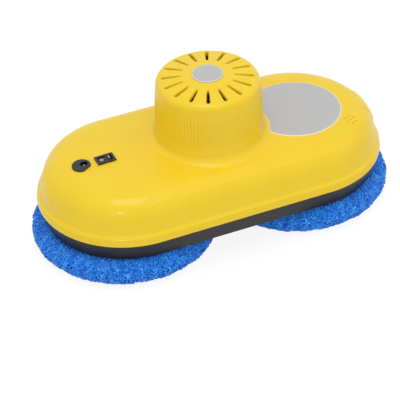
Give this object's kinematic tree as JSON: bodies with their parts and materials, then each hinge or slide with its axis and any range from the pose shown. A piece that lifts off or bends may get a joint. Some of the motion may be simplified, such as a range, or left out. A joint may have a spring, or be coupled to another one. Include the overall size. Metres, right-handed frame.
{
  "type": "window cleaning robot",
  "caption": "Window cleaning robot with a crowned oblong cover, a ribbed fan dome, and spinning microfibre pads driven by geared motors.",
  "frame": {"origin": "on the glass, in the plane of the pads' undersides, below the middle of the dome", "axes": "+X along the length towards the label plate, +Z away from the glass, front -Y"},
  "size_m": [0.3064, 0.1516, 0.1331],
  "materials": {
    "yellow_cover": "gloss moulded",
    "silver_disc": "brushed, turned edge",
    "grey_plate": "fine matt",
    "black_controls": "satin moulded",
    "black_rocker": "gloss moulded",
    "plated_pin": "nickel plated",
    "black_base": "fine spark texture",
    "screw_steel": "blackened",
    "inner_plastic": "moulded",
    "bush_bronze": "sintered",
    "motor_steel": "drawn can",
    "pinion_brass": "cut",
    "gear_nylon": "natural nylon",
    "shaft_steel": "ground",
    "disc_plastic": "moulded",
    "blue_microfibre": "deep looped pile",
    "seal_felt": "felt",
    "impeller_plastic": "moulded",
    "green_board": "solder mask",
    "board_chips": "moulded",
    "sensor_plastic": "moulded",
    "cell_wrap": "shrink sleeve"
  },
  "bodies": {
    "housing": {"top_cover": "yellow_cover", "dome_cap": "yellow_cover", "dome_disc": "silver_disc", "label_plate": "grey_plate", "dc_socket": "black_controls", "socket_pin": "plated_pin", "socket_nut": "black_controls", "switch_frame": "black_controls", "base_plate": "black_base", "cover_screws": "screw_steel", "left_gear_cover": "inner_plastic", "right_gear_cover": "inner_plastic", "gear_cover_screws": "screw_steel", "left_lower_bush": "bush_bronze", "right_lower_bush": "bush_bronze", "left_upper_bush": "bush_bronze", "right_upper_bush": "bush_bronze", "left_gear_motor": "motor_steel", "right_gear_motor": "motor_steel", "left_seal": "seal_felt", "right_seal": "seal_felt", "air_duct": "inner_plastic", "fan_housing": "inner_plastic", "motor_bracket": "inner_plastic", "fan_motor": "motor_steel", "control_board": "green_board", "board_parts": "board_chips", "ir_receiver": "board_chips", "pressure_sensor": "sensor_plastic", "battery_holder": "inner_plastic", "battery_cells": "cell_wrap", "beeper": "black_controls"},
    "left_wheel": {"left_shaft": "shaft_steel", "left_gear": "gear_nylon", "left_disc": "disc_plastic", "left_pad_ring": "disc_plastic", "left_pad": "blue_microfibre", "left_disc_screw": "screw_steel"},
    "right_wheel": {"right_shaft": "shaft_steel", "right_gear": "gear_nylon", "right_disc": "disc_plastic", "right_pad_ring": "disc_plastic", "right_pad": "blue_microfibre", "right_disc_screw": "screw_steel"},
    "left_drive": {"left_pinion": "pinion_brass"},
    "right_drive": {"right_pinion": "pinion_brass"},
    "fan": {"fan_shaft": "shaft_steel", "impeller": "impeller_plastic"},
    "rocker": {"switch_rocker": "black_rocker"}
  },
  "joints": [
    {"name": "left_pad_spin", "type": "hinge", "parent": "housing", "child": "left_wheel", "pos_m": [-0.0774, 0, 0.02], "axis": [0, 0, 1], "continuous": true},
    {"name": "right_pad_spin", "type": "hinge", "parent": "housing", "child": "right_wheel", "pos_m": [0.0774, 0, 0.02], "axis": [0, 0, 1], "continuous": true},
    {"name": "left_pinion_spin", "type": "hinge", "parent": "housing", "child": "left_drive", "pos_m": [-0.0774, 0.035, 0.04], "axis": [0, 0, 1], "continuous": true},
    {"name": "right_pinion_spin", "type": "hinge", "parent": "housing", "child": "right_drive", "pos_m": [0.0774, -0.035, 0.04], "axis": [0, 0, 1], "continuous": true},
    {"name": "fan_spin", "type": "hinge", "parent": "housing", "child": "fan", "pos_m": [0, 0, 0.06], "axis": [0, 0, 1], "continuous": true},
    {"name": "rocker_tilt", "type": "hinge", "parent": "housing", "child": "rocker", "pos_m": [-0.0909, -0.001, 0.0766], "axis": [0, 1, 0], "range_deg": [0, 20]}
  ],
  "couplings": [
    {"joint": "left_pinion_spin", "follows": "left_pad_spin", "ratio": -4},
    {"joint": "right_pinion_spin", "follows": "right_pad_spin", "ratio": -4}
  ]
}
